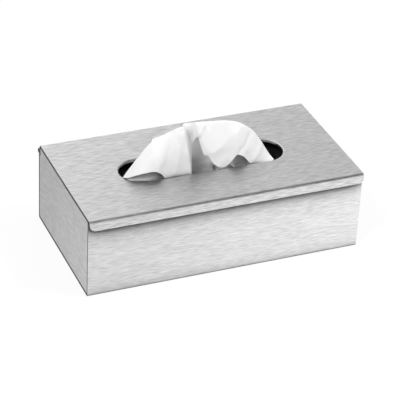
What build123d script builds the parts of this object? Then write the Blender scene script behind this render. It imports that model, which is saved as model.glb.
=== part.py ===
from build123d import *
import os
from math import radians, tan

# Tissue dispenser: a folded steel housing with a hinged lid, loaded with a carton of tissues.
# Sizes are millimetres. X runs along the housing, the lid's lip is at -Y, the hinge at +Y, Z is up.
# The origin is the centre of the underside of the base.

# Housing
housing_length = 270.0
housing_depth = 142.0
overall_height = 81.4
sheet = 1.0
housing_bend = 1.8
return_depth = 12.0
mount_hole_diameter = 5.5
mount_hole_spacing_x = 180.0
mount_hole_from_wall = 5.5

# End panels
panel_bend = 1.5
panel_corner = 2.0
panel_flange = 11.0
flange_gap = 2.0

# Lid
lid_side_inset = 0.2
lid_gap = 0.6
lid_bend = 3.0
lip_overhang = 2.4
lip_height = 8.8
lip_flare = 15.0
lip_corner = 5.5
slot_length = 163.0
slot_width = 41.0
slot_centre_y = -3.8
collar_depth = 3.0
collar_bend = 1.4

# Hinge
leaf = 1.0
pin_diameter = 3.0
pin_clearance = 0.05
pin_recess = 1.0
knuckle_count = 9
knuckle_gap = 0.4
hinge_clearance = 0.3
wall_below_sweep = 0.4
flange_above_axis = 1.6
axis_below_lid_top = 7.8
body_leaf_height = 14.0
lid_leaf_margin = 0.2
corner_notch_gap = 3.0

# Buffers between housing and lid
buffer_diameter = 8.0
front_buffer_x = 62.0
rear_buffer_y = 48.0

# Refill carton: the room around it, and its opening against the lid's slot
carton_end_space = 15.0
carton_gutter = 11.0
space_over_carton = 11.4
board = 0.5
opening_shorter = 5.0
opening_wider = 11.0
film_margin = 9.0
film_thickness = 0.2
slit_shorter = 35.0
slit_narrower = 19.0
slit_end_room = 6.0

# Stack of tissues in the carton
stack_end_space = 12.0
stack_side_space = 6.5
stack_headroom = 17.0
stack_fold = 2.0

# Tissue standing in the slot
tissue_clearance = 0.5
tuft_height = 43.0
tuft_left_space = 4.0
tuft_right_space = 11.0
tuft_bays = 4
end_lean = 0.55
end_thinning = 0.3
neck_taper = 0.8
neck_bow = 1.5
neck_thickness = 6.0
neck_top_share = 0.94
neck_top_from_rim = 9.0
neck_top_bow = 2.5
neck_top_thickness = 9.0

# Places worked out from the sizes above
end_x = housing_length / 2
wall_out = housing_depth / 2
wall_in = wall_out - sheet
lid_under = overall_height - sheet
wall_top = lid_under - lid_gap
lid_length = housing_length - 2 * lid_side_inset
between_flanges = end_x - sheet - panel_flange - flange_gap
knuckle_radius = pin_diameter / 2 + pin_clearance + leaf
axis_y = wall_in - leaf + knuckle_radius
axis_z = overall_height - axis_below_lid_top
knuckle_sweep = knuckle_radius + hinge_clearance
rear_wall_top = axis_z - knuckle_sweep - wall_below_sweep
knuckle_pitch = housing_length / knuckle_count
mount_hole_y = wall_in - mount_hole_from_wall
carton_length = 2 * (end_x - sheet - carton_end_space)
carton_depth = 2 * (wall_in - carton_gutter)
carton_top = lid_under - space_over_carton
carton_height = carton_top - sheet
carton_opening_length = slot_length - opening_shorter
carton_opening_width = slot_width + opening_wider
slit_length = slot_length - slit_shorter
slit_width = slot_width - slit_narrower
stack_length = carton_length - 2 * (board + stack_end_space)
stack_depth = carton_depth - 2 * (board + stack_side_space)
stack_height = carton_height - 2 * board - stack_headroom
tuft_left = -slot_length / 2 + tuft_left_space
tuft_right = slot_length / 2 - tuft_right_space


def knuckle_starts(first):
    """The left ends of every second knuckle, and the length that each has."""
    starts = []
    for index in range(first, knuckle_count, 2):
        left_gap = knuckle_gap / 2 if index > 0 else 0
        right_gap = knuckle_gap / 2 if index < knuckle_count - 1 else 0
        start = -end_x + index * knuckle_pitch + left_gap
        starts.append((start, knuckle_pitch - left_gap - right_gap))
    return starts


# Housing shell: front wall with its return, base and rear wall, folded from one sheet.
# It runs the whole length, so its cut edges frame the end panels.
with BuildPart() as housing_shell:
    with BuildSketch(Plane.YZ.offset(-end_x)):
        with BuildLine():
            FilletPolyline(
                (wall_out, rear_wall_top),
                (wall_out, 0),
                (-wall_out, 0),
                (-wall_out, wall_top),
                (-wall_out + return_depth, wall_top),
                radius=housing_bend,
            )
            offset(amount=sheet, side=Side.RIGHT)
        make_face()
    extrude(amount=housing_length)
    # The return stops short of the end panels' flanges
    cut_length = end_x - between_flanges
    with Locations(
        (between_flanges, -wall_in, wall_top),
        (-between_flanges - cut_length, -wall_in, wall_top),
    ):
        Box(
            cut_length,
            return_depth,
            2 * housing_bend,
            align=(Align.MIN, Align.MIN, Align.MAX),
            mode=Mode.SUBTRACT,
        )
    # Four holes for fixing screws, in the gutters beside the carton
    with Locations((0, 0, sheet)):
        with GridLocations(mount_hole_spacing_x, 2 * mount_hole_y, 2, 2):
            Hole(mount_hole_diameter / 2, depth=sheet)
housing_shell.part.label = "housing_shell"


def end_panel(side):
    """One end of the housing: a shallow pan that lies inside the shell, flush with its end."""
    outer_face = Plane.YZ.offset(side * end_x)
    with BuildPart() as panel:
        with BuildSketch(outer_face):
            with Locations((0, (sheet + wall_top) / 2)):
                Rectangle(2 * wall_in, wall_top - sheet)
        extrude(amount=-side * (sheet + panel_flange))
        fillet(panel.edges().filter_by(Axis.X), radius=panel_corner)
        pan_faces = panel.faces().sort_by(Axis.X)
        outside = pan_faces[-1] if side > 0 else pan_faces[0]
        fillet(outside.edges(), radius=panel_bend)
        pan_faces = panel.faces().filter_by(Axis.X).sort_by(Axis.X)
        inside = pan_faces[0] if side > 0 else pan_faces[-1]
        offset(amount=-sheet, openings=inside)
        # The upper rear corner is cut away for the hinge
        notch_front = axis_y - knuckle_radius - corner_notch_gap
        with BuildSketch(outer_face):
            with Locations((notch_front, rear_wall_top)):
                Rectangle(wall_out, overall_height, align=(Align.MIN, Align.MIN))
        extrude(amount=-side * 2 * panel_flange, mode=Mode.SUBTRACT)
    return panel.part


left_end_panel = end_panel(-1)
left_end_panel.label = "left_end_panel"
right_end_panel = end_panel(1)
right_end_panel.label = "right_end_panel"


# Lid: rear flange, top with its slot, and the lip that flares away from the front wall
with BuildPart() as lid_panel:
    flange_y = wall_in - leaf
    flange_bottom = axis_z + flange_above_axis
    corner_y = -wall_out - lip_overhang
    with BuildSketch(Plane.YZ.offset(-lid_length / 2)):
        with BuildLine():
            FilletPolyline(
                (flange_y, flange_bottom),
                (flange_y, overall_height),
                (corner_y, overall_height),
                (
                    corner_y - lip_height * tan(radians(lip_flare)),
                    overall_height - lip_height,
                ),
                radius=lid_bend,
            )
            offset(amount=sheet, side=Side.LEFT)
        make_face()
    extrude(amount=lid_length)
    # Rounded lower corners of the lip
    lip_edge = lid_panel.faces().sort_by(Axis.Z)[0]
    fillet(lip_edge.edges().filter_by(lambda edge: edge.length < 2 * sheet), radius=lip_corner)
    # The slot has a collar, drawn down from the sheet
    with BuildSketch(Plane.XY.offset(overall_height - collar_depth)):
        with Locations((0, slot_centre_y)):
            SlotOverall(slot_length + 2 * sheet, slot_width + 2 * sheet)
    extrude(amount=collar_depth - sheet / 2)
    with BuildSketch(Plane.XY.offset(overall_height - collar_depth)):
        with Locations((0, slot_centre_y)):
            SlotOverall(slot_length, slot_width)
    extrude(amount=2 * collar_depth, mode=Mode.SUBTRACT)
    lid_top = lid_panel.faces().filter_by(Axis.Z).sort_by(Axis.Z)[-1]
    fillet(lid_top.inner_wires()[0].edges(), radius=collar_bend)
lid_panel.part.label = "lid_panel"


# Hinge leaf of the housing, welded inside the rear wall
with BuildPart() as body_hinge_leaf:
    plate_top = axis_z - knuckle_sweep
    with Locations((0, wall_in, plate_top)):
        Box(
            2 * between_flanges,
            leaf,
            body_leaf_height,
            align=(Align.CENTER, Align.MAX, Align.MAX),
        )
    ear_bottom = (rear_wall_top + plate_top) / 2
    for start, length in knuckle_starts(0):
        with BuildSketch(Plane.YZ.offset(start)):
            with Locations((axis_y, axis_z)):
                Circle(knuckle_radius)
            with Locations((wall_in, ear_bottom)):
                Rectangle(leaf, axis_z - ear_bottom, align=(Align.MAX, Align.MIN))
            with Locations((axis_y, axis_z)):
                Circle(pin_diameter / 2 + pin_clearance, mode=Mode.SUBTRACT)
        extrude(amount=length)
body_hinge_leaf.part.label = "body_hinge_leaf"


# Hinge leaf of the lid, welded to the back of its rear flange
with BuildPart() as lid_hinge_leaf:
    plate_bottom = axis_z + knuckle_sweep
    leaf_top = overall_height - lid_bend - lid_leaf_margin
    with Locations((0, wall_in, plate_bottom)):
        Box(
            lid_length,
            leaf,
            leaf_top - plate_bottom,
            align=(Align.CENTER, Align.MAX, Align.MIN),
        )
    for start, length in knuckle_starts(1):
        with BuildSketch(Plane.YZ.offset(start)):
            with Locations((axis_y, axis_z)):
                Circle(knuckle_radius)
            with Locations((wall_in, axis_z)):
                Rectangle(leaf, leaf_top - axis_z, align=(Align.MAX, Align.MIN))
            with Locations((axis_y, axis_z)):
                Circle(pin_diameter / 2 + pin_clearance, mode=Mode.SUBTRACT)
        extrude(amount=length)
lid_hinge_leaf.part.label = "lid_hinge_leaf"


# Hinge pin, a little short of the outer knuckles' ends
with BuildPart() as hinge_pin:
    with BuildSketch(Plane.YZ.offset(-end_x + pin_recess)):
        with Locations((axis_y, axis_z)):
            Circle(pin_diameter / 2)
    extrude(amount=housing_length - 2 * pin_recess)
hinge_pin.part.label = "hinge_pin"


# Four stick-on buffers that the closed lid rests on
with BuildPart() as lid_buffers:
    front_buffer_y = -wall_out + housing_bend + (return_depth - housing_bend) / 2
    rear_buffer_x = end_x - panel_bend - (panel_flange - panel_bend) / 2
    with BuildSketch(Plane.XY.offset(wall_top)):
        with Locations(
            (-front_buffer_x, front_buffer_y),
            (front_buffer_x, front_buffer_y),
            (-rear_buffer_x, rear_buffer_y),
            (rear_buffer_x, rear_buffer_y),
        ):
            Circle(buffer_diameter / 2)
    extrude(amount=lid_gap)
lid_buffers.part.label = "lid_buffers"


# Refill carton standing on the base, with its oval opening
with BuildPart() as refill_carton:
    with BuildSketch(Plane.XY.offset(sheet)):
        Rectangle(carton_length, carton_depth)
    extrude(amount=carton_height)
    with BuildSketch(Plane.XY.offset(sheet + board)):
        Rectangle(carton_length - 2 * board, carton_depth - 2 * board)
    extrude(amount=carton_height - 2 * board, mode=Mode.SUBTRACT)
    with BuildSketch(Plane.XY.offset(carton_top)):
        with Locations((0, slot_centre_y)):
            SlotOverall(carton_opening_length, carton_opening_width)
    extrude(amount=-2 * board, mode=Mode.SUBTRACT)
refill_carton.part.label = "refill_carton"


# Film glued under the carton's opening, with the slit that holds up the next tissue
with BuildPart() as carton_film:
    with BuildSketch(Plane.XY.offset(carton_top - board)):
        with Locations((0, slot_centre_y)):
            Rectangle(
                carton_opening_length + 2 * film_margin,
                carton_opening_width + 2 * film_margin,
            )
            SlotOverall(slit_length, slit_width, mode=Mode.SUBTRACT)
    extrude(amount=-film_thickness)
carton_film.part.label = "carton_film"


# Stack of interfolded tissues on the carton's floor, its long folds rounded
with BuildPart() as tissue_stack:
    with BuildSketch(Plane.XY.offset(sheet + board)):
        Rectangle(stack_length, stack_depth)
    extrude(amount=stack_height)
    fillet(tissue_stack.edges().filter_by(Axis.X), radius=stack_fold)
tissue_stack.part.label = "tissue_stack"


# Tissue drawn up through slit and slot: a gathered ribbon whose bays bow to and fro
with BuildPart() as popup_tissue:
    neck_bottom = sheet + board + stack_height + tissue_clearance
    neck_half = slit_length / 2 - slit_end_room
    rim_front_y = slot_centre_y - slot_width / 2 + tissue_clearance
    # Share of the tuft's height, shares of its left and right reach, middle, bow of a bay, thickness
    tuft_cuts = (
        (0.0, 1.0, 1.0, 9.0, 3.5, 11.0),
        (0.2, 0.94, 0.92, 9.2, 4.0, 11.0),
        (0.4, 0.87, 0.81, 9.6, 4.2, 10.5),
        (0.6, 0.79, 0.70, 10.2, 4.2, 9.5),
        (0.8, 0.68, 0.57, 11.0, 3.8, 8.0),
        (0.93, 0.48, 0.41, 12.0, 3.0, 6.0),
        (1.0, 0.30, 0.24, 12.6, 2.0, 3.5),
    )
    levels = [
        (
            neck_bottom,
            -neck_taper * neck_half,
            neck_taper * neck_half,
            slot_centre_y,
            neck_taper * neck_bow,
            neck_taper * neck_thickness,
        ),
        (carton_top - board, -neck_half, neck_half, slot_centre_y, neck_bow, neck_thickness),
        (
            overall_height - collar_depth,
            neck_top_share * tuft_left,
            neck_top_share * tuft_right,
            rim_front_y + neck_top_from_rim,
            neck_top_bow,
            neck_top_thickness,
        ),
    ]
    for share, left_share, right_share, from_rim, bow, thickness in tuft_cuts:
        level = overall_height + share * tuft_height
        left = left_share * tuft_left
        right = right_share * tuft_right
        levels.append((level, left, right, rim_front_y + from_rim, bow, thickness))
    for level, left, right, middle_y, bow, thickness in levels:
        bay = (right - left) / tuft_bays
        fronts = []
        backs = []
        for index in range(tuft_bays + 1):
            at_end = index in (0, tuft_bays)
            node_y = middle_y + (end_lean if at_end else 0) * thickness
            half = thickness * (end_thinning if at_end else 1) / 2
            fronts.append((left + index * bay, node_y - half))
            backs.append((left + index * bay, node_y + half))
        with BuildSketch(Plane.XY.offset(level)):
            with BuildLine():
                for nodes in (fronts, backs):
                    for index in range(tuft_bays):
                        push = bow if index % 2 else -bow
                        (start_x, start_y), (stop_x, stop_y) = nodes[index : index + 2]
                        middle = ((start_x + stop_x) / 2, (start_y + stop_y) / 2 + push)
                        ThreePointArc((start_x, start_y), middle, (stop_x, stop_y))
                Line(fronts[0], backs[0])
                Line(fronts[-1], backs[-1])
            make_face()
    loft(ruled=True)
popup_tissue.part.label = "popup_tissue"


os.makedirs("parts", exist_ok=True)
finished_parts = (
    housing_shell.part,
    left_end_panel,
    right_end_panel,
    lid_panel.part,
    body_hinge_leaf.part,
    lid_hinge_leaf.part,
    hinge_pin.part,
    lid_buffers.part,
    refill_carton.part,
    carton_film.part,
    tissue_stack.part,
    popup_tissue.part,
)
for finished in finished_parts:
    export_step(finished, f"parts/{finished.label}.step")
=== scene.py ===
from math import cos, pi, radians, sin

import bpy
import numpy as np
from mathutils import Matrix, Vector, noise


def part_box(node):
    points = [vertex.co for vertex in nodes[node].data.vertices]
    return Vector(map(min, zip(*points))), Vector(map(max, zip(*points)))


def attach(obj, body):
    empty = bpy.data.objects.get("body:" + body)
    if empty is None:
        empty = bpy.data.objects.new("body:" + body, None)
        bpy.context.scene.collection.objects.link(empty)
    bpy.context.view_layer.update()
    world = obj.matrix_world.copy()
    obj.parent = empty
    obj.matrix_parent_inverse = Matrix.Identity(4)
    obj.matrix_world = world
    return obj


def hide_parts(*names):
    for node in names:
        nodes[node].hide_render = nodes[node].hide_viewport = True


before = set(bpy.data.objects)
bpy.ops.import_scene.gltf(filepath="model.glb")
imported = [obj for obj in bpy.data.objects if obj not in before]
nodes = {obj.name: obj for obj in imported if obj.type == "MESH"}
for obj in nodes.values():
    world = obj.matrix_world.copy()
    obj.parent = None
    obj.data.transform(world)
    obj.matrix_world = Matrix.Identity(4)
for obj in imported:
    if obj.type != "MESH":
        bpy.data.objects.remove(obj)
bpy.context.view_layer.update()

mm = 0.001
x_axis = 0
y_axis = 1
z_axis = 2

# Camera, found by fitting a perspective view to the edges of the box in the photograph
picture_side = 400
focal_length_pixels = 1891.6
sensor_width = 36.0
view_azimuth = 23.573
view_elevation = 31.984
view_roll = 2.924
view_distance = 1.79486
view_aim = Vector((0.00215, 0, 0.03447))
nearest_seen = 0.01
farthest_seen = 50


def add_camera():
    """A camera at the photograph's place, whose axis meets the picture's centre."""
    azimuth = radians(view_azimuth)
    elevation = radians(view_elevation)
    roll = radians(view_roll)
    forward = Vector(
        (sin(azimuth) * cos(elevation), cos(azimuth) * cos(elevation), -sin(elevation))
    )
    level_right = Vector((cos(azimuth), -sin(azimuth), 0))
    level_up = level_right.cross(forward)
    right = level_right * cos(roll) + level_up * sin(roll)
    up = level_up * cos(roll) - level_right * sin(roll)
    data = bpy.data.cameras.new("photo_camera")
    data.sensor_width = sensor_width
    data.lens = focal_length_pixels / picture_side * sensor_width
    data.clip_start = nearest_seen
    data.clip_end = farthest_seen
    camera = bpy.data.objects.new("photo_camera", data)
    turn = Matrix((right, up, -forward)).transposed()
    camera.matrix_world = Matrix.Translation(view_aim - forward * view_distance) @ turn.to_4x4()
    bpy.context.scene.collection.objects.link(camera)
    bpy.context.scene.camera = camera


# Small helpers for node materials
noise_roughness = 0.55
openness_samples = 20


def grey(value):
    """A grey for a socket with three values."""
    return (value, value, value)


def opaque_grey(value):
    """A grey for a socket with four values."""
    return (value, value, value, 1)


def new_material(name):
    """An empty node material, and its node tree."""
    material = bpy.data.materials.new(name)
    material.use_nodes = True
    material.node_tree.nodes.clear()
    return material, material.node_tree


def add_node(tree, kind, settings=None, inputs=None):
    """A shader node with its settings and the values of its sockets. A socket as value is linked."""
    node = tree.nodes.new(kind)
    for key, value in (settings or {}).items():
        setattr(node, key, value)
    for key, value in (inputs or {}).items():
        if isinstance(value, bpy.types.NodeSocket):
            tree.links.new(value, node.inputs[key])
        else:
            node.inputs[key].default_value = value
    return node


def math_node(tree, operation, first, second=0.5):
    """The result of a Math node."""
    node = add_node(tree, "ShaderNodeMath", {"operation": operation}, {0: first, 1: second})
    return node.outputs[0]


def product(tree, first, *others):
    """The product of two values or more."""
    for other in others:
        first = math_node(tree, "MULTIPLY", first, other)
    return first


def object_place(tree):
    """The place on the surface, in the object's own coordinates."""
    return add_node(tree, "ShaderNodeTexCoord").outputs["Object"]


def object_normal(tree):
    """The way the surface faces, in the object's own coordinates."""
    return add_node(tree, "ShaderNodeTexCoord").outputs["Normal"]


def along_axis(tree, vector, axis):
    """A vector's part along one axis."""
    return add_node(tree, "ShaderNodeSeparateXYZ", None, {0: vector}).outputs[axis]


def stretched_noise(tree, place, scale, detail):
    """Noise of its own scale along each axis, in cycles per metre, about 0.5."""
    mapping = add_node(tree, "ShaderNodeMapping", None, {"Vector": place, "Scale": scale})
    inputs = {
        "Vector": mapping.outputs[0],
        "Scale": 1.0,
        "Detail": detail,
        "Roughness": noise_roughness,
    }
    return add_node(tree, "ShaderNodeTexNoise", None, inputs).outputs["Fac"]


def remap(tree, value, low, high, from_low=0.3, from_high=0.7):
    """A value spread to run from low to high. Without its own range it is noise about 0.5."""
    inputs = {
        "Value": value,
        "From Min": from_low,
        "From Max": from_high,
        "To Min": low,
        "To Max": high,
    }
    return add_node(tree, "ShaderNodeMapRange", None, inputs).outputs[0]


def scaled_colour(tree, colour, factor):
    """A colour multiplied by a grey factor that varies over the surface."""
    inputs = {0: colour, "Scale": factor}
    return add_node(tree, "ShaderNodeVectorMath", {"operation": "SCALE"}, inputs).outputs[0]


def bumped(tree, height, strength, distance, normal=None):
    """A normal that follows small heights."""
    inputs = {"Height": height, "Strength": strength, "Distance": distance}
    if normal is not None:
        inputs["Normal"] = normal
    return add_node(tree, "ShaderNodeBump", None, inputs).outputs[0]


def principled(tree, inputs):
    """A Principled shader with the values of its sockets."""
    return add_node(tree, "ShaderNodeBsdfPrincipled", None, inputs).outputs[0]


def surface(tree, shader):
    """Links a shader to the material's output."""
    output = add_node(tree, "ShaderNodeOutputMaterial")
    tree.links.new(shader, output.inputs["Surface"])


def openness(tree, reach):
    """1 where nothing stands within reach of the surface, down to 0 where it is shut in."""
    settings = {"samples": openness_samples}
    inputs = {"Distance": reach}
    return add_node(tree, "ShaderNodeAmbientOcclusion", settings, inputs).outputs["AO"]


# Brushed steel. Each layer of grain is in cycles per metre along and across it, and its tones are the
# shares by which it darkens and lightens the steel.
fine_scratches = (105, 2300)
fine_tones = (0.40, 0.36)
long_lines = (28, 1300)
line_tones = (0.10, 0.08)
wide_bands = (16, 330)
band_tones = (0.015, 0.015)
slow_clouds = (9, 22)
cloud_tones = (0.02, 0.02)
rough_by_lines = 0.03
rough_by_clouds = 0.02
grain_strength = 0.35
grain_relief = 0.006 * mm
edge_rounding = 0.3 * mm
steel_anisotropy = 0.7
turn_to_grain = 0.25

# Sheared edges, darker partly in their own duller grey and partly as painted shade of the seams and gaps
# beside them: how dark they are, how squarely they face along the grain, and how high up the lowest one
# is dark
sheared_grey_and_gap_shade = 0.22
facing_squarely = 0.9
lowest_edge_reach = 0.3 * mm

# Bent rim of a panel, darkened as painted shade: how dark it is, how squarely a flange and the rim's two
# limits face along the axis
rim_shade_grey = 0.2
flange_facing = 0.3
rim_facing = (0.94, 0.998)

# Shadows in the steel: the reach of a seam's, the openness where an overhang's shade is full and where it
# ends, how it falls off, the heights between which it sets in, and the darkest grey of what is shut in
seam_reach = 4 * mm
overhang_openness = (0.845, 0.975)
overhang_falloff = 0.55
overhang_heights = (40 * mm, 60 * mm)
shut_in_grey = 0.45


def seam_shadow(tree, place, reach, depth, shut_in, in_seams):
    """A grey factor: darker in seams and, in the upper half, soft and wide under an overhang.
    shut_in gives the openness where the surface is darkest and where it starts to darken, and
    in_seams gives the same two for seams, after the grey of the darkest seam."""
    seam = remap(tree, openness(tree, seam_reach), in_seams[0], 1.0, in_seams[1], in_seams[2])
    if depth == 0:
        return seam
    wide = openness(tree, reach)
    spread = remap(tree, wide, 1.0, 0.0, *overhang_openness)
    shade = math_node(tree, "POWER", spread, overhang_falloff)
    height = along_axis(tree, place, z_axis)
    taken = product(tree, shade, remap(tree, height, 0, depth, *overhang_heights))
    deep = remap(tree, wide, shut_in_grey, 1.0, *shut_in)
    return product(tree, seam, math_node(tree, "SUBTRACT", 1.0, taken), deep)


def sheared_edges(tree, place, grain_axis, lowest_edge):
    """1 on sheared edges of a sheet and on its lowest edge, 0 elsewhere. The darker grey given there is
    partly the edges' own and partly painted shade of the gaps beside them.
    """
    facing = math_node(tree, "ABSOLUTE", along_axis(tree, object_normal(tree), grain_axis))
    ends = math_node(tree, "GREATER_THAN", facing, facing_squarely)
    if lowest_edge is None:
        return ends
    height = along_axis(tree, place, z_axis)
    low = math_node(tree, "LESS_THAN", height, lowest_edge + lowest_edge_reach)
    return math_node(tree, "MAXIMUM", ends, low)


def bent_rim_shade(tree, face_axis):
    """A grey factor of painted shade: 1 on the flat face of a panel and on its flanges, darker on the
    bends between.
    """
    facing = math_node(tree, "ABSOLUTE", along_axis(tree, object_normal(tree), face_axis))
    on_flange = math_node(tree, "LESS_THAN", facing, flange_facing)
    return math_node(tree, "MAXIMUM", on_flange, remap(tree, facing, rim_shade_grey, 1.0, *rim_facing))


def toned(tree, layer, tones, contrast=1.0):
    """A grey factor about 1 from a layer of noise and its tones."""
    return remap(tree, layer, 1 - tones[0] * contrast, 1 + tones[1] * contrast)


def brushed_steel(
    name,
    brightness,
    roughness,
    grain_axis,
    contrast,
    lowest_edge=None,
    shade_reach=40 * mm,
    shade_depth=0,
    shut_in=(0.35, 0.65),
    in_seams=(0.42, 0.55, 0.97),
    face_axis=None,
):
    """Satin steel with grain lines along one axis: fine scratches, bands and slow cloudiness.
    Sheared edges, which face along the grain or lie at the lowest edge, are darker: partly their own
    duller grey and partly painted shade of the gaps beside them.
    Given the axis that its flat face looks along, a panel's bent rim is darker too, with painted shade."""
    material, tree = new_material(name)
    place = object_place(tree)

    def layer(cycles, detail):
        scale = [cycles[1]] * 3
        scale[grain_axis] = cycles[0]
        return stretched_noise(tree, place, scale, detail)

    fine = layer(fine_scratches, 1.0)
    lines = layer(long_lines, 1.0)
    bands = layer(wide_bands, 2.0)
    clouds = layer(slow_clouds, 2.0)
    sheared = sheared_edges(tree, place, grain_axis, lowest_edge)
    tone = product(
        tree,
        toned(tree, fine, fine_tones, contrast),
        toned(tree, lines, line_tones, contrast),
        toned(tree, bands, band_tones, contrast),
        toned(tree, clouds, cloud_tones),
        # Sheared edges darker: partly their own duller grey, partly painted shade of the gaps beside them
        remap(tree, sheared, 1.0, sheared_grey_and_gap_shade, 0, 1),
    )
    if face_axis is not None:
        # Painted shade on the bent rim of a panel
        tone = product(tree, tone, bent_rim_shade(tree, face_axis))
    tone = product(tree, tone, seam_shadow(tree, place, shade_reach, shade_depth, shut_in, in_seams))
    rough = math_node(
        tree,
        "ADD",
        remap(tree, lines, roughness - rough_by_lines, roughness + rough_by_lines),
        remap(tree, clouds, -rough_by_clouds, rough_by_clouds),
    )
    rounded = add_node(tree, "ShaderNodeBevel", {"samples": 4}, {"Radius": edge_rounding})
    scratched = math_node(tree, "ADD", fine, lines)
    grain = [0.0, 0.0, 0.0]
    grain[grain_axis] = 1.0
    tangent = add_node(tree, "ShaderNodeCombineXYZ", None, dict(enumerate(grain)))
    inputs = {
        "Base Color": scaled_colour(tree, grey(brightness), tone),
        "Metallic": 1.0,
        "Roughness": rough,
        "Anisotropic": steel_anisotropy,
        "Anisotropic Rotation": turn_to_grain,
        "Tangent": tangent.outputs[0],
        "Normal": bumped(tree, scratched, grain_strength, grain_relief, rounded.outputs[0]),
    }
    surface(tree, principled(tree, inputs))
    return material


# Tissue paper: its grey, the share of light that comes through, and for the painted shade in its hollows
# the reach, the darkest grey, and the openness where they are darkest and where they start
paper_grey = 0.92
paper_glow = 0.2
hollow_shade_reach = 20 * mm
hollow_shade_grey = 0.1
hollow_shade_openness = (0.27, 0.66)


def tissue_paper(name):
    """Soft two-ply tissue: matt white, a little translucent, with fine crepe lines, loose fibres, and
    painted shade in its hollows.
    """
    material, tree = new_material(name)
    place = object_place(tree)
    crepe = stretched_noise(tree, place, (500, 900, 2600), 3.0)
    fibres = stretched_noise(tree, place, (1500, 1500, 1500), 4.0)
    clouds = stretched_noise(tree, place, (60, 60, 60), 2.0)
    tone = product(
        tree,
        remap(tree, fibres, 0.985, 1.01),
        remap(tree, clouds, 0.985, 1.01),
        # Painted shade: darker in the paper's hollows and folds, where little light reaches
        remap(tree, openness(tree, hollow_shade_reach), hollow_shade_grey, 1.0, *hollow_shade_openness),
    )
    colour = scaled_colour(tree, grey(paper_grey), tone)
    normal = bumped(tree, math_node(tree, "ADD", crepe, fibres), 0.25, 0.08 * mm)
    inputs = {
        "Base Color": colour,
        "Roughness": 0.95,
        "Specular IOR Level": 0.15,
        "Sheen Weight": 0.08,
        "Sheen Roughness": 0.6,
        "Normal": normal,
    }
    paper = principled(tree, inputs)
    glow = add_node(tree, "ShaderNodeBsdfTranslucent", None, {"Color": colour, "Normal": normal})
    both = {"Fac": paper_glow, 1: paper, 2: glow.outputs[0]}
    surface(tree, add_node(tree, "ShaderNodeMixShader", None, both).outputs[0])
    return material


def plain_board(name, colour, roughness):
    """Carton board in the colour it is given: matt, with faint fibres and cloudy ink."""
    material, tree = new_material(name)
    place = object_place(tree)
    fibres = stretched_noise(tree, place, (700, 1400, 1400), 4.0)
    ink = stretched_noise(tree, place, (45, 45, 45), 3.0)
    tone = product(tree, remap(tree, fibres, 0.85, 1.15), remap(tree, ink, 0.9, 1.1))
    inputs = {
        "Base Color": scaled_colour(tree, colour, tone),
        "Roughness": remap(tree, ink, roughness - 0.06, roughness + 0.06),
        "Specular IOR Level": 0.25,
        "Normal": bumped(tree, fibres, 0.3, 0.05 * mm),
    }
    surface(tree, principled(tree, inputs))
    return material


def thin_film(name, colour):
    """Film in the colour it is given: smooth, with slow waves where it isn't quite taut."""
    material, tree = new_material(name)
    waves = stretched_noise(tree, object_place(tree), (30, 90, 90), 2.0)
    inputs = {
        "Base Color": scaled_colour(tree, colour, remap(tree, waves, 0.9, 1.1)),
        "Roughness": remap(tree, waves, 0.22, 0.34),
        "Normal": bumped(tree, waves, 0.4, 0.6 * mm),
    }
    surface(tree, principled(tree, inputs))
    return material


def silicone(name, colour):
    """Translucent grey silicone, matt with a fine moulded texture."""
    material, tree = new_material(name)
    place = object_place(tree)
    grain = stretched_noise(tree, place, (2500, 2500, 2500), 3.0)
    clouds = stretched_noise(tree, place, (200, 200, 200), 2.0)
    inputs = {
        "Base Color": scaled_colour(tree, colour, remap(tree, clouds, 0.92, 1.05)),
        "Roughness": remap(tree, grain, 0.5, 0.62),
        "Subsurface Weight": 0.2,
        "Subsurface Radius": (1, 1, 1),
        "Subsurface Scale": 0.4 * mm,
        "Normal": bumped(tree, grain, 0.3, 0.03 * mm),
    }
    surface(tree, principled(tree, inputs))
    return material


def dress(names, material):
    """Gives CAD nodes a material."""
    for name in names:
        mesh = nodes[name].data
        mesh.materials.clear()
        mesh.materials.append(material)


def new_object(name, vertices, faces, material):
    """A mesh object with one material, in the scene."""
    mesh = bpy.data.meshes.new(name)
    mesh.from_pydata(vertices, [], faces)
    mesh.materials.append(material)
    made = bpy.data.objects.new(name, mesh)
    bpy.context.scene.collection.objects.link(made)
    return made


def shade_smooth(piece):
    """Shades a piece as one smooth surface."""
    for face in piece.data.polygons:
        face.use_smooth = True


# Floor and world
floor_half = 4.0
floor_grey = 0.86
floor_own_white = 0.85
world_fill = 0.36


def seen_directly(tree):
    """1 for rays from the camera and for mirror and glass rays, 0 for all others."""
    path = add_node(tree, "ShaderNodeLightPath").outputs
    first = math_node(tree, "MAXIMUM", path["Is Camera Ray"], path["Is Glossy Ray"])
    return math_node(tree, "MAXIMUM", first, path["Is Transmission Ray"])


def glowing(tree, colour, strength):
    """An Emission shader."""
    inputs = {"Color": colour, "Strength": strength}
    return add_node(tree, "ShaderNodeEmission", None, inputs).outputs[0]


def add_floor():
    """A plain white floor that keeps a faint shadow."""
    material, tree = new_material("studio_floor")
    matt = add_node(tree, "ShaderNodeBsdfDiffuse", None, {"Color": opaque_grey(floor_grey)})
    white = glowing(tree, opaque_grey(1), 1.0)
    share = product(tree, seen_directly(tree), floor_own_white)
    both = {"Fac": share, 1: matt.outputs[0], 2: white}
    surface(tree, add_node(tree, "ShaderNodeMixShader", None, both).outputs[0])
    corners = [(-1, -1), (1, -1), (1, 1), (-1, 1)]
    vertices = [(x * floor_half, y * floor_half, 0) for x, y in corners]
    new_object("studio_floor", vertices, [(0, 1, 2, 3)], material)


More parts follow.
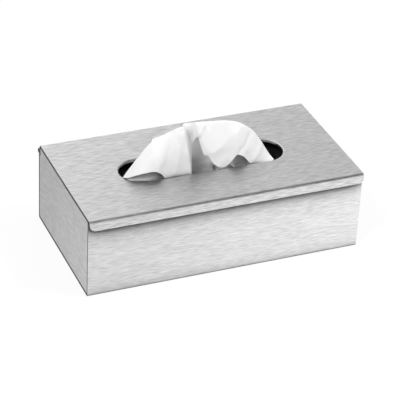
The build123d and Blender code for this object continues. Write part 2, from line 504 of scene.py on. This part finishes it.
def add_world():
    """White where it is seen, and a softer fill where it lights."""
    world = bpy.data.worlds.new("studio")
    bpy.context.scene.world = world
    world.use_nodes = True
    tree = world.node_tree
    tree.nodes.clear()
    seen = product(tree, seen_directly(tree), 1 - world_fill)
    inputs = {"Color": opaque_grey(1), "Strength": math_node(tree, "ADD", seen, world_fill)}
    background = add_node(tree, "ShaderNodeBackground", None, inputs)
    output = add_node(tree, "ShaderNodeOutputWorld")
    tree.links.new(background.outputs[0], output.inputs["Surface"])


# Lamps, each with its name, place, size in metres and watts. They light the matt pieces, but the sheen
# lamp lights only the steel.
matt_lamps = [
    ("left_lamp", (-1.1, -0.62, 1.55), 0.7, 25),
    ("right_lamp", (1.1, -0.62, 1.55), 0.7, 23),
    ("rear_lamp", (0.3, 1.3, 1.2), 1.2, 10),
]
sheen_lamp = ("front_sheen", (0.52, -1.25, 0.12), 0.5, 0.6)
lamp_aim = Vector((0, 0, 0.06))


def add_lamp(name, place, size, watts, only_in_steel):
    """A square soft box that faces the object. It lights either the matt pieces or the steel's sheen."""
    data = bpy.data.lights.new(name, "AREA")
    data.shape = "SQUARE"
    data.size = size
    data.energy = watts
    lamp = bpy.data.objects.new(name, data)
    lamp.location = place
    lamp.rotation_euler = (lamp_aim - Vector(place)).to_track_quat("-Z", "Y").to_euler()
    lamp.visible_glossy = only_in_steel
    lamp.visible_diffuse = not only_in_steel
    lamp.visible_transmission = not only_in_steel
    bpy.context.scene.collection.objects.link(lamp)


# Cards that only the steel reflects. The bend card is an arc about the X axis, over the front and the
# top: its angles are in degrees up from the front.
bend_card_grey = 0.03
bend_card_radius = 1.6
bend_card_sides = (0.1, 1.15)
bend_card_angles = (22, 104)
bend_card_steps = 24
floor_card_height = 0.5 * mm

# A flat card's shade along an axis: the axis, and two (place, brightness) on it
front_card_shade = (x_axis, (-0.12, 0.94), (0.17, 1.24))
side_card_shade_along = (y_axis, (-0.05, 1.25), (0.16, 0.85))
# Across the side card, painted shadow: darker next to the side panel, where the object's own shadow lies
# on the floor that the card hides
side_card_painted_floor_shadow = (x_axis, (-0.18, 1.0), (-0.136, 0.8))
rear_card_shade = (x_axis, (0.08, 1.25), (0.42, 0.88))


def stage_card(card):
    """Leaves a card to be seen only in the steel, as part of the studio."""
    card.visible_camera = False
    card.visible_diffuse = False
    card.visible_transmission = False
    card.visible_shadow = False


def add_bend_card():
    """A dark arc that the steel reflects: it darkens the lid's front bend, as a dark studio does."""
    material, tree = new_material("studio_card")
    surface(tree, glowing(tree, opaque_grey(bend_card_grey), 1.0))
    first_angle, last_angle = bend_card_angles
    vertices = []
    for step in range(bend_card_steps + 1):
        angle = radians(first_angle + (last_angle - first_angle) * step / bend_card_steps)
        for side in bend_card_sides:
            vertices.append((side, -bend_card_radius * cos(angle), bend_card_radius * sin(angle)))
    faces = [(2 * i, 2 * i + 1, 2 * i + 3, 2 * i + 2) for i in range(bend_card_steps)]
    stage_card(new_object("studio_card", vertices, faces, material))


def add_shaded_card(name, corners, *shades):
    """A card whose brightness changes along one axis or more."""
    material, tree = new_material(name)
    place = object_place(tree)
    brightness = 1.0
    for axis, first, last in shades:
        shade = remap(tree, along_axis(tree, place, axis), first[1], last[1], first[0], last[0])
        brightness = product(tree, shade, brightness)
    surface(tree, glowing(tree, opaque_grey(1), brightness))
    stage_card(new_object(name, corners, [(0, 1, 2, 3)], material))


def on_floor(low_x, low_y, high_x, high_y):
    """The corners of a card that lies on the floor."""
    corners = [(low_x, low_y), (high_x, low_y), (high_x, high_y), (low_x, high_y)]
    return [(x, y, floor_card_height) for x, y in corners]


def standing_behind(low_x, high_x, y, low_z, high_z):
    """The corners of a card that stands behind the object."""
    return [(low_x, y, low_z), (high_x, y, low_z), (high_x, y, high_z), (low_x, y, high_z)]


# The drawn tissue: its rows from left to right, each point of them as (x, y, height over the lid's top)
# in millimetres
lid_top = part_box("lid_panel")[1].z

front_edge = [
    (-81.5, -11.5, 0.4),
    (-77.5, -17.0, 2.6),
    (-71.3, -21.5, 6.6),
    (-63.9, -23.0, 8.0),
    (-53.4, -23.5, 8.6),
    (-48.3, -23.5, 5.0),
    (-42.7, -23.0, -2.0),
    (-34.0, -22.6, -5.0),
    (-24.0, -22.6, -6.0),
    (-17.4, -22.8, -6.0),
    (-14.6, -16.0, -6.0),
    (-13.0, -10.5, 10.0),
    (-12.1, -9.2, 22.6),
    (-9.0, -12.0, 31.9),
    (-6.1, -15.0, 21.9),
    (-4.0, -18.0, 14.3),
    (-0.6, -19.5, 13.2),
    (1.6, -21.2, 9.5),
    (5.7, -22.6, 4.1),
    (12.3, -23.0, 0.4),
    (16.0, -23.0, 0.4),
    (19.3, -22.8, 2.2),
    (22.7, -22.5, 6.0),
    (28.5, -22.3, 10.0),
    (34.7, -22.4, 7.2),
    (40.1, -22.5, 1.2),
    (47.0, -22.5, -4.0),
    (55.0, -22.4, -5.0),
    (61.5, -22.0, -4.0),
    (67.0, -19.5, -2.5),
]
top_fold = [
    (-52.5, -9.0, 34.2),
    (-49.5, -9.5, 35.4),
    (-45.3, -10.0, 36.4),
    (-41.0, -10.3, 37.9),
    (-37.0, -10.5, 39.6),
    (-33.5, -10.8, 40.9),
    (-30.5, -11.2, 42.1),
    (-28.0, -11.6, 42.9),
    (-25.6, -12.2, 43.6),
    (-23.3, -12.5, 44.1),
    (-20.8, -6.5, 42.2),
    (-18.0, -3.2, 41.2),
    (-14.4, -4.8, 41.7),
    (-10.5, -8.8, 44.1),
    (-6.5, -9.8, 44.5),
    (-3.0, -10.0, 44.4),
    (0.5, -10.0, 44.1),
    (4.5, -10.0, 43.7),
    (9.0, -10.0, 43.2),
    (13.5, -10.0, 42.5),
    (18.0, -10.0, 41.7),
    (22.5, -10.0, 40.8),
    (27.0, -10.0, 39.8),
    (31.5, -10.0, 38.3),
    (36.8, -10.0, 35.5),
    (42.0, -10.0, 31.6),
    (48.8, -10.0, 25.9),
    (55.1, -10.2, 17.3),
    (60.7, -11.0, 7.8),
    (64.6, -12.0, 0.6),
]
behind_line = [
    (-66, -9, 17),
    (-54, -10, 20),
    (-42, -8, 22),
    (-30, -5, 22),
    (-20, 0, 22),
    (-11, 2, 22),
    (-2, 1, 22),
    (8, 0, 22),
    (18, -8, 21),
    (30, -5, 20),
    (42, -7, 17),
    (54, -8, 8),
    (64, -10, -1),
]
rim_line = [
    (-80, -10, 0),
    (-77, -16.5, 0),
    (-70, -18.5, 0),
    (-61, -19.2, 0),
    (-51, -18.6, 0),
    (-42, -14, 0),
    (-33, -7, 0),
    (-24, -1, 0),
    (-14, 5, 0),
    (-5, 6, 0),
    (3, 4, 0),
    (11, 0, 0),
    (19, -14, 0),
    (25, -17, 0),
    (33, -12.5, 0),
    (42, -12, 0),
    (54, -12, 0),
    (65, -13, -2),
]

# How the bulge of a row between two others grows from its ends
bulge_growth = 6

# The row just behind the top fold, from that fold
behind_fold = (0.3, 3.4, -3.0)

# How much of the rim's way from front to rear the rows in the slot and in the film's slit keep, and how
# far the first of them lies in front of it
collar_follows = 0.75
collar_forward = 2
slit_follows = 0.45

# Pleats: how fast they deepen from the ends of a row, how deep they are in its middle and how fast they
# deepen from there, and a second wave's size and its folds for each fold of the first
end_growth = 5
middle_depth = 0.2
middle_growth = 3
second_wave = 0.35
second_folds = 1.7

# Rows inside the carton, hanging, landing, and laid on the stack and folded back: left and right end, y,
# height, depth and number of the pleats, and how far the ripples rise
inner_rows = [
    (-64, 62, -3, -22, 6.0, 9, 0.0),
    (-78, 76, 8, -28.3, 3.0, 8, 4.0),
    (-94, 92, 28, -28.9, 1.2, 5, 4.5),
    (-102, 101, 54, -28.5, 1.5, 4, 4.5),
    (-99, 100, 10, -27.3, 2.0, 4, 4.5),
]

# Ripples of a laid row: their middle, and the size and number of the long and of the short ones
ripple_middle = 0.5
long_ripple = 0.35
long_ripples = 5
short_ripple = 0.15
short_ripples = 11

# Soft creases of the front layer: where each starts and ends as (x, height), how far it pushes back and
# its reach
creases = [
    ((-54, 36), (-51, 8), -1.5, 8),
    ((-34, 40), (-43, 12), 1.1, 8),
    ((-26, 36), (-33, 2), -1.1, 7),
    ((-2.5, 42), (-9, 32), -1.0, 3),
    ((48, 29), (28, 9), 0.9, 5),
    ((38, 36), (6, 17), -1.0, 9),
    ((58, 14), (46, 2), -1.0, 6),
]
crease_falloff = 1.5
crease_fade_lines = 6

# Crumples: the scale of the coarse and the fine ones, how high they are, and the noise's usual size
coarse_scale = 0.055
fine_scale = 0.16
coarse_height = 0.8
fine_height = 0.3
usual_noise = 0.2
fine_offset = Vector((7, 3, 1))

# The mesh's points across and along the sheet, how straight its lines run between the given points each
# way, and the rows where the front ends and the crumples end
points_across = 240
points_along = 170
tension_across = 0.3
tension_along = 0.2
top_row = 3
last_crumpled_row = 6.5


def row_between(lower, upper, share, bulge):
    """A row between two others, pushed forward by a bulge that fades towards the ends of the row."""
    count = len(lower)
    row = []
    for index, (low, high) in enumerate(zip(lower, upper)):
        x, y, height = [a + (b - a) * share for a, b in zip(low, high)]
        across = index / (count - 1)
        grown = min(1, bulge_growth * across, bulge_growth * (1 - across))
        row.append((x, y - bulge * grown, height))
    return row


def smooth_samples(points, count, tension=0.35):
    """Points along cubic pieces through the given ones. A higher tension gives straighter pieces."""
    points = np.array(points, float)
    before = np.concatenate([points[:1], points[:-1]])
    after = np.concatenate([points[1:], points[-1:]])
    tangents = (after - before) / 2 * (1 - tension)
    place = np.linspace(0, len(points) - 1, count)
    first = np.minimum(place.astype(int), len(points) - 2)
    t = (place - first).reshape((-1,) + (1,) * (points.ndim - 1))
    return (
        (2 * t**3 - 3 * t**2 + 1) * points[first]
        + (t**3 - 2 * t**2 + t) * tangents[first]
        + (3 * t**2 - 2 * t**3) * points[first + 1]
        + (t**3 - t**2) * tangents[first + 1]
    )


def gathered_row(count, left, right, middle_y, height, depth, folds, rise=0.0):
    """A row of soft pleats, shallow at its ends and in its middle, with ripples above its height."""
    row = []
    for index in range(count):
        share = index / (count - 1)
        from_middle = middle_depth + middle_growth * abs(share - 0.5)
        deepened = min(1, end_growth * share, end_growth * (1 - share), from_middle)
        wave = sin(2 * pi * folds * share)
        wave += second_wave * sin(2 * pi * second_folds * folds * share + 1)
        ripple = ripple_middle + long_ripple * sin(2 * pi * long_ripples * share + 1)
        ripple += short_ripple * sin(2 * pi * short_ripples * share)
        x = left + (right - left) * share
        row.append((x, middle_y + depth * deepened * wave, height + rise * ripple))
    return row


def crease_push(x, height):
    """How far the creases push each point of the front layer back."""
    push = np.zeros_like(x)
    for start, end, depth, reach in creases:
        start = np.array(start, float)
        line = np.array(end, float) - start
        along = ((x - start[0]) * line[0] + (height - start[1]) * line[1]) / (line @ line)
        along_clipped = np.clip(along, 0, 1)
        off_x = x - start[0] - along_clipped * line[0]
        off_height = height - start[1] - along_clipped * line[1]
        away = np.sqrt(off_x**2 + off_height**2)
        push += depth * np.clip(1 - away / reach, 0, 1) ** crease_falloff
    return push


def crumple(table):
    """Small soft crumples, with creases where the noise changes sign. Millimetres."""
    for line in table:
        for point in line:
            coarse = abs(noise.noise(Vector(point) * coarse_scale)) - usual_noise
            fine = abs(noise.noise(Vector(point) * fine_scale + fine_offset)) - usual_noise
            point[1] += coarse_height * coarse + fine_height * fine
            point[2] += coarse_height * coarse


def tissue_rows():
    """The sheet's rows, from the front edge over the top fold and down to its end on the stack."""
    columns = len(top_fold)
    rim = smooth_samples(rim_line, columns)
    pleats = gathered_row(columns, left=-72, right=60, middle_y=0, height=-6.5, depth=1.4, folds=9)
    collar = [
        (x, collar_follows * back + y - collar_forward, height)
        for (x, y, height), (_, back, _) in zip(pleats, rim)
    ]
    pleats = gathered_row(columns, left=-58, right=56, middle_y=-0.3, height=-13, depth=3.5, folds=8)
    slit = [
        (x, slit_follows * back + y, height)
        for (x, y, height), (_, back, _) in zip(pleats, rim)
    ]
    off_x, off_y, off_height = behind_fold
    rows = [
        front_edge,
        row_between(front_edge, top_fold, share=0.45, bulge=1.6),
        row_between(front_edge, top_fold, share=0.85, bulge=1.3),
        top_fold,
        [(x + off_x, y + off_y, height + off_height) for x, y, height in top_fold],
        smooth_samples(behind_line, columns),
        rim,
        collar,
        slit,
    ]
    for left, right, middle_y, height, depth, folds, rise in inner_rows:
        rows.append(gathered_row(columns, left, right, middle_y, height, depth, folds, rise))
    return rows


def drawn_tissue(material):
    """The tissue in the slot, one thin sheet."""
    rows = tissue_rows()
    table = np.array([smooth_samples(row, points_across, tension_across) for row in rows])
    table = smooth_samples(table, points_along, tension_along)
    lines_per_row = (points_along - 1) / (len(rows) - 1)
    top_line = int(top_row * lines_per_row)
    front = table[: top_line + 1]
    fade = np.clip((top_line - np.arange(top_line + 1)) / crease_fade_lines, 0, 1)[:, None]
    front[..., 1] += crease_push(front[..., 0], front[..., 2]) * fade
    crumple(table[: int(last_crumpled_row * lines_per_row)])
    vertices = []
    for line in table:
        for x, y, height in line:
            vertices.append((x * mm, y * mm, lid_top + height * mm))
    faces = []
    for line in range(points_along - 1):
        for step in range(points_across - 1):
            start = line * points_across + step
            faces.append((start, start + 1, start + points_across + 1, start + points_across))
    tissue = new_object("drawn_tissue", vertices, faces, material)
    shade_smooth(tissue)
    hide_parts("popup_tissue")
    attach(tissue, "tissue")


# Stack of interfolded tissues: how many folds show, the rows of points on each, and the steps along and
# across
stack_folds = 48
rows_per_fold = 4
stack_steps_along = 60
stack_steps_across = 24
fold_setback = 1.3 * mm
end_setback = 0.8 * mm
top_dip = 0.6 * mm

# Where the noise of each fold is read: the step from fold to fold, and the start of the rear folds
seed_step = 0.73
rear_seed = 40

# Shares of the setback: a fold's mean one, the one that noise swings, and the noise's waves along it
mean_setback = 0.4
swung_setback = 0.6
setback_waves = 4

# Waves of the stack's top, in cycles per metre along and across
deck_waves = (25, 40)


def fold_level(index):
    """Share of a fold's pitch, and of its bulge, at a row of points on it."""
    angle = pi * ((index % rows_per_fold + 0.5) / rows_per_fold - 0.5)
    return index // rows_per_fold + 0.5 + 0.5 * sin(angle), cos(angle)


def stacked_tissues(material):
    """A closed block whose long sides are rounded folds, each a little in or out, as paper lies."""
    low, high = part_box("tissue_stack")
    pitch = (high.z - low.z) / stack_folds
    levels = stack_folds * rows_per_fold
    width = stack_steps_along + 1
    vertices = []
    faces = []

    def side_point(index, step, side):
        fold = index // rows_per_fold
        level, bulge = fold_level(index)
        share = step / stack_steps_along
        seed = fold * seed_step + (0 if side < 0 else rear_seed)
        swing = noise.noise(Vector((seed, setback_waves * share, 0)))
        back = fold_setback * (mean_setback + swung_setback * swing)
        back += 0.5 * pitch * (1 - bulge)
        inset = end_setback * (0.5 + 0.5 * noise.noise(Vector((seed, 9, 5))))
        x = low.x + inset + (high.x - low.x - 2 * inset) * share
        y = low.y + back if side < 0 else high.y - back
        return x, y, low.z + pitch * level

    for side in (-1, 1):
        start = len(vertices)
        for index in range(levels):
            for step in range(width):
                vertices.append(side_point(index, step, side))
        for index in range(levels - 1):
            for step in range(stack_steps_along):
                first = start + index * width + step
                corners = (first, first + 1, first + width + 1, first + width)
                faces.append(corners if side < 0 else corners[::-1])
    rear = levels * width
    for index in range(levels - 1):
        for step in (0, stack_steps_along):
            front_low = index * width + step
            corners = (front_low, front_low + width, rear + front_low + width, rear + front_low)
            faces.append(corners if step == 0 else corners[::-1])
    add_deck(vertices, faces, [(step, rear + step) for step in range(width)], 0, True)
    top = (levels - 1) * width
    top_edges = [(top + step, rear + top + step) for step in range(width)]
    add_deck(vertices, faces, top_edges, top_dip, False)
    stack = new_object("stacked_tissues", vertices, faces, material)
    shade_smooth(stack)
    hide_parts("tissue_stack")
    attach(stack, "root")


def add_deck(vertices, faces, edges, dip, downward):
    """Closes a block between its front and rear edges, with soft waves that go down by the dip."""
    columns = []
    for front, rear in edges:
        column = [front]
        for step in range(1, stack_steps_across):
            point = Vector(vertices[front]).lerp(Vector(vertices[rear]), step / stack_steps_across)
            wave = Vector((point.x * deck_waves[0], point.y * deck_waves[1], 3))
            point.z -= dip * (0.5 + noise.noise(wave))
            column.append(len(vertices))
            vertices.append(tuple(point))
        column.append(rear)
        columns.append(column)
    for left, right in zip(columns, columns[1:]):
        for step in range(stack_steps_across):
            corners = (left[step], right[step], right[step + 1], left[step + 1])
            faces.append(corners[::-1] if downward else corners)


add_camera()
add_floor()
add_world()
add_bend_card()
for lamp_facts in matt_lamps:
    add_lamp(*lamp_facts, only_in_steel=False)
add_lamp(*sheen_lamp, only_in_steel=True)
add_shaded_card(
    "front_card",
    on_floor(low_x=-0.6, low_y=-1.2, high_x=0.8, high_y=-0.072),
    front_card_shade,
)
add_shaded_card(
    "side_card",
    on_floor(low_x=-1.2, low_y=-0.3, high_x=-0.136, high_y=0.9),
    side_card_shade_along,
    side_card_painted_floor_shadow,
)
add_shaded_card(
    "rear_card",
    standing_behind(low_x=-0.7, high_x=1.1, y=0.6, low_z=0.0, high_z=1.3),
    rear_card_shade,
)
bpy.context.scene.view_settings.view_transform = "Standard"

lid_steel = brushed_steel(
    "lid_steel",
    brightness=0.68,
    roughness=0.42,
    grain_axis=x_axis,
    contrast=0.75,
    lowest_edge=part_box("lid_panel")[0].z,
    shade_reach=35 * mm,
    shade_depth=0.06,
    shut_in=(0.12, 0.4),
)
housing_steel = brushed_steel(
    "housing_steel",
    brightness=0.71,
    roughness=0.36,
    grain_axis=x_axis,
    contrast=0.5,
    shade_depth=0.88,
)
# The end panels are the housing's steel, made darker: painted shade that keeps the side faces darker than
# the front
end_panel_steel = brushed_steel(
    "end_panel_steel",
    brightness=0.46,
    roughness=0.40,
    grain_axis=y_axis,
    contrast=0.6,
    in_seams=(0.1, 0.7, 0.98),
    face_axis=x_axis,
)
hinge_steel = brushed_steel(
    "hinge_steel",
    brightness=0.50,
    roughness=0.42,
    grain_axis=x_axis,
    contrast=0.7,
)
pin_steel = brushed_steel(
    "pin_steel",
    brightness=0.45,
    roughness=0.35,
    grain_axis=x_axis,
    contrast=0.5,
)
dress(["lid_panel"], lid_steel)
dress(["housing_shell"], housing_steel)
dress(["left_end_panel", "right_end_panel"], end_panel_steel)
dress(["body_hinge_leaf", "lid_hinge_leaf"], hinge_steel)
dress(["hinge_pin"], pin_steel)
dress(["lid_buffers"], silicone("buffer_silicone", colour=grey(0.42)))
# The carton and its film are near-black as painted shade: it keeps the inside of the housing dark where
# it shows through the slot
dress(["refill_carton"], plain_board("carton_board", colour=(0.012, 0.012, 0.013), roughness=0.7))
dress(["carton_film"], thin_film("film", colour=(0.01, 0.01, 0.011)))
paper = tissue_paper("tissue_paper")
dress(["tissue_stack", "popup_tissue"], paper)
drawn_tissue(paper)
stacked_tissues(paper)
